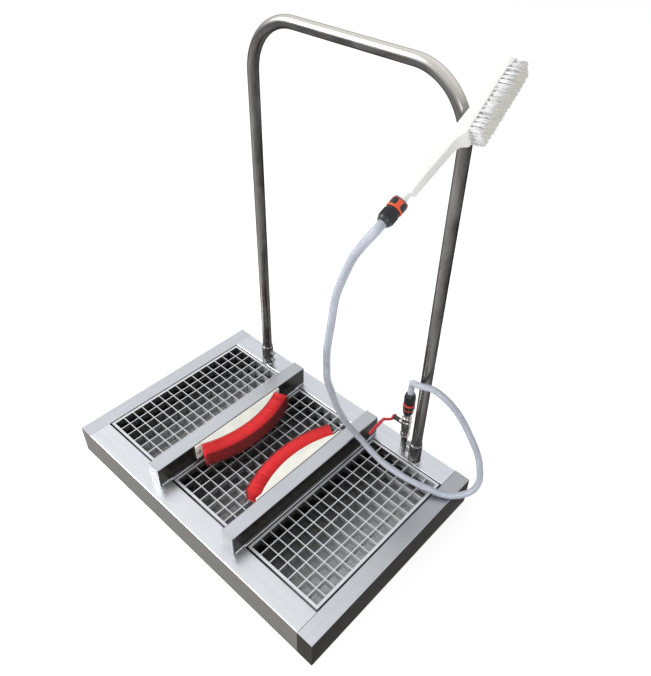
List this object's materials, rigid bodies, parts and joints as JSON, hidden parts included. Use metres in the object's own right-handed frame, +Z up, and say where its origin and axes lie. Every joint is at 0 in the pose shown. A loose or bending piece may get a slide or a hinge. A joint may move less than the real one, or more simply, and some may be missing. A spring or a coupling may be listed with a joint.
{
  "type": "boot washing station",
  "caption": "Floor-standing boot washing station: steel tray with grates, curved side brushes on beams, handrail, and a ball valve feeding a hose with hand brush",
  "frame": {"origin": "centre of the tray's underside, on the floor", "axes": "+Z up; +X along the tray's long side, to the side with the valve and hand brush; +Y from the tray's front towards the handrail"},
  "size_m": [0.9474, 0.655, 1.1355],
  "materials": {
    "brushed_sheet": "fine brushed stainless sheet",
    "grate_steel": "pickled stainless bar",
    "rail_steel": "satin polished stainless tube",
    "plated_brass": "nickel plated",
    "fastener_steel": "plain stainless",
    "brush_block_plastic": "milled off-white plastic",
    "white_plastic": "moulded",
    "red_bristle": "stiff filament",
    "pale_bristle": "stiff filament",
    "red_coating": "dipped vinyl coating",
    "black_plastic": "moulded",
    "orange_plastic": "moulded",
    "clear_hose": "translucent flexible tube"
  },
  "bodies": {
    "root": {"side_member_left": "brushed_sheet", "side_member_right": "brushed_sheet", "front_member": "brushed_sheet", "back_member": "brushed_sheet", "cross_member_left": "brushed_sheet", "cross_member_right": "brushed_sheet", "pan_floor": "brushed_sheet", "drain_pipe": "brushed_sheet", "drain_strainer": "brushed_sheet", "beam_left": "brushed_sheet", "beam_right": "brushed_sheet", "beam_cap_left_front": "brushed_sheet", "beam_cap_left_back": "brushed_sheet", "beam_cap_right_front": "brushed_sheet", "beam_cap_right_back": "brushed_sheet", "boot_brush_block_left": "brush_block_plastic", "boot_brush_block_right": "brush_block_plastic", "boot_brush_bristles_left": "red_bristle", "boot_brush_bristles_right": "red_bristle", "brush_bolt_left_a": "fastener_steel", "brush_bolt_left_b": "fastener_steel", "brush_bolt_right_a": "fastener_steel", "brush_bolt_right_b": "fastener_steel", "handrail": "rail_steel", "rail_socket_left": "brushed_sheet", "rail_socket_right": "brushed_sheet", "clamp_bolt_left_lower": "fastener_steel", "clamp_bolt_left_upper": "fastener_steel", "clamp_bolt_right_lower": "fastener_steel", "clamp_bolt_right_upper": "fastener_steel", "brush_peg": "rail_steel", "inlet_elbow": "plated_brass", "riser_pipe": "brushed_sheet", "ring_nut": "plated_brass", "valve_body": "plated_brass", "tap_adaptor": "black_plastic", "tap_coupling_body": "black_plastic", "tap_union_nut": "black_plastic", "hose": "clear_hose"},
    "lever": {"valve_lever": "red_coating", "valve_ball": "plated_brass", "valve_stem": "plated_brass", "lever_nut": "fastener_steel"},
    "left_grate": {"grate_left": "grate_steel"},
    "middle_grate": {"grate_middle": "grate_steel"},
    "right_grate": {"grate_right": "grate_steel"},
    "hand_brush": {"hand_brush_handle": "white_plastic", "hand_brush_head": "white_plastic", "hand_brush_bristles": "pale_bristle", "brush_coupling_body": "black_plastic", "brush_union_nut": "black_plastic"},
    "tap_collar": {"tap_coupling_collar": "orange_plastic"},
    "brush_collar": {"brush_coupling_collar": "orange_plastic"}
  },
  "joints": [
    {"name": "lever_turn", "type": "hinge", "parent": "root", "child": "lever", "pos_m": [0.257, 0.264, 0.1925], "axis": [1, 0, 0], "range_deg": [-10, 80]},
    {"name": "grate_left_lift", "type": "slide", "parent": "root", "child": "left_grate", "axis": [0, 0, 1], "range_m": [0, 0.12]},
    {"name": "grate_middle_lift", "type": "slide", "parent": "root", "child": "middle_grate", "axis": [0, 0, 1], "range_m": [0, 0.008]},
    {"name": "grate_right_lift", "type": "slide", "parent": "root", "child": "right_grate", "axis": [0, 0, 1], "range_m": [0, 0.007]},
    {"name": "hand_brush_lift", "type": "slide", "parent": "root", "child": "hand_brush", "axis": [0, 0, 1], "range_m": [0, 0.22]},
    {"name": "tap_collar_slide", "type": "slide", "parent": "root", "child": "tap_collar", "axis": [0, 0, 1], "range_m": [0, 0.004], "stiffness_N_per_m": 500, "springref_m": -0.004},
    {"name": "brush_collar_slide", "type": "slide", "parent": "hand_brush", "child": "brush_collar", "axis": [0, -0.9063, -0.4226], "range_m": [0, 0.004], "stiffness_N_per_m": 500, "springref_m": -0.004}
  ]
}
